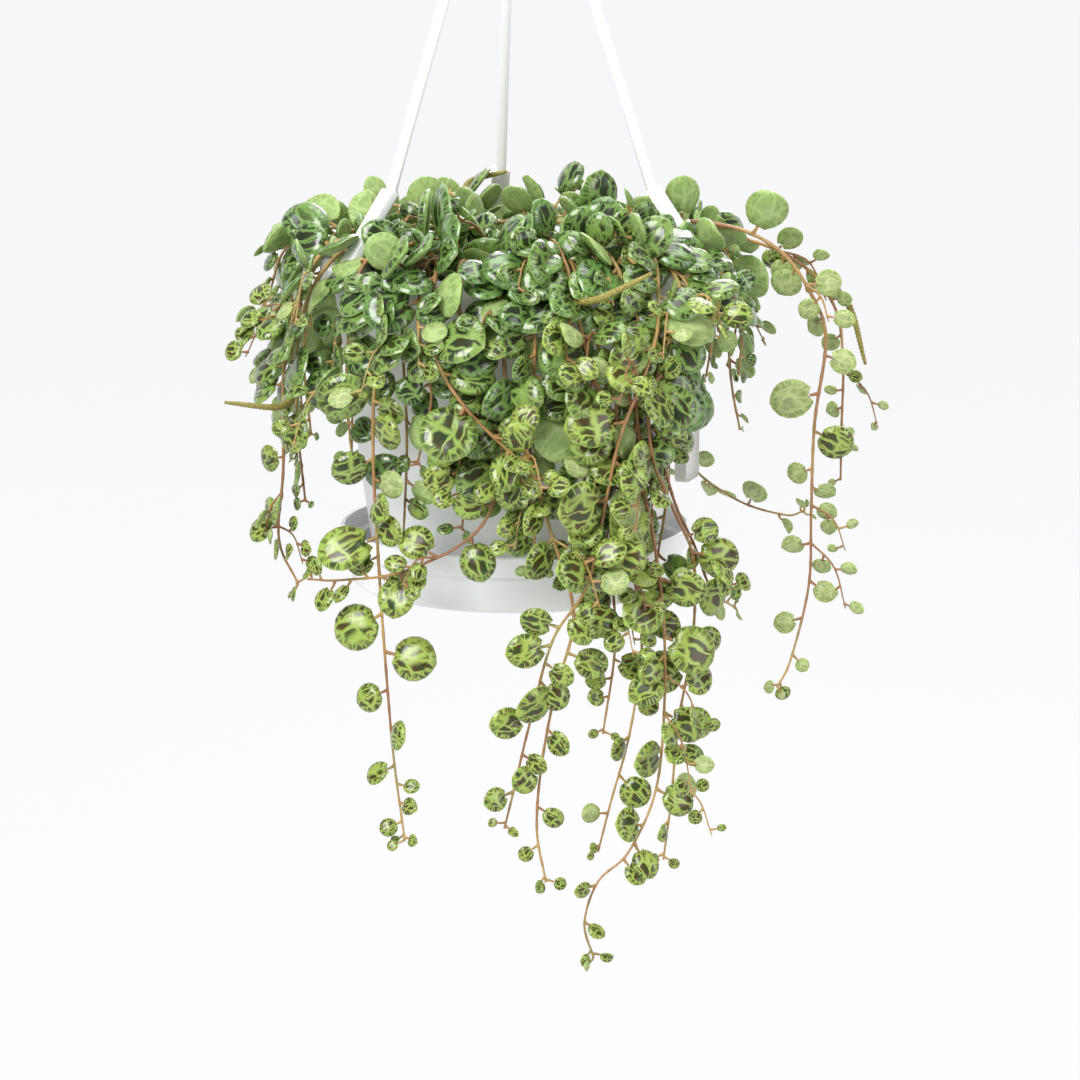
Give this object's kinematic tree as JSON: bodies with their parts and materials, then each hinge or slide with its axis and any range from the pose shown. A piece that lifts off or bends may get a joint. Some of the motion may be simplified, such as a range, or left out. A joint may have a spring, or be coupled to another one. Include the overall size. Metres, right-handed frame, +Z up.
{
  "type": "potted string of turtles",
  "caption": "Trailing string of turtles plant in a plastic hanging pot with a saucer, carried by a hanger with a hook.",
  "frame": {"origin": "the inner crown of the hanger's hook, where a rail or ceiling hook carries the load", "axes": "+Z up along the pot's axis; -Y is the front, where the longest strands hang; +X is to the right seen from the front"},
  "size_m": [0.2176, 0.1957, 0.4212],
  "materials": {
    "foliage": "satin",
    "pot_plastic": "satin",
    "hanger_plastic": "satin",
    "soil_mix": "matte",
    "label_card": "matte"
  },
  "bodies": {
    "root": {"care_label": "label_card", "hanger_arm_back": "hanger_plastic", "hanger_arm_left": "hanger_plastic", "hanger_arm_right": "hanger_plastic", "hanger_hook": "hanger_plastic", "pot": "pot_plastic", "saucer": "pot_plastic", "soil": "soil_mix", "strand_back_right": "foliage", "strand_back_sweep": "foliage", "strand_bundle": "foliage", "strand_crown_1": "foliage", "strand_crown_2": "foliage", "strand_crown_3": "foliage", "strand_crown_4": "foliage", "strand_crown_5": "foliage", "strand_crown_6": "foliage", "strand_crown_7": "foliage", "strand_front_cross": "foliage", "strand_front_left": "foliage", "strand_front_right": "foliage", "strand_front_slant": "foliage", "strand_front_sweep": "foliage", "strand_left": "foliage", "strand_left_short": "foliage", "strand_longest": "foliage", "strand_middle": "foliage", "strand_right_long": "foliage", "strand_right_low": "foliage", "strand_right_outer": "foliage", "strand_skirt_01": "foliage", "strand_skirt_02": "foliage", "strand_skirt_03": "foliage", "strand_skirt_04": "foliage", "strand_skirt_05": "foliage", "strand_skirt_06": "foliage", "strand_skirt_07": "foliage", "strand_skirt_08": "foliage", "strand_skirt_09": "foliage", "strand_skirt_10": "foliage", "strand_skirt_11": "foliage", "strand_skirt_12": "foliage", "strand_skirt_13": "foliage", "strand_skirt_14": "foliage", "strand_skirt_15": "foliage", "strand_skirt_16": "foliage", "strand_skirt_17": "foliage", "strand_skirt_18": "foliage", "strand_skirt_19": "foliage", "strand_skirt_20": "foliage", "strand_skirt_21": "foliage", "strand_skirt_22": "foliage", "strand_skirt_23": "foliage", "strand_skirt_24": "foliage", "strand_skirt_25": "foliage", "strand_skirt_26": "foliage", "strand_skirt_27": "foliage", "strand_skirt_28": "foliage", "strand_skirt_29": "foliage", "strand_skirt_30": "foliage"}
  },
  "joints": []
}
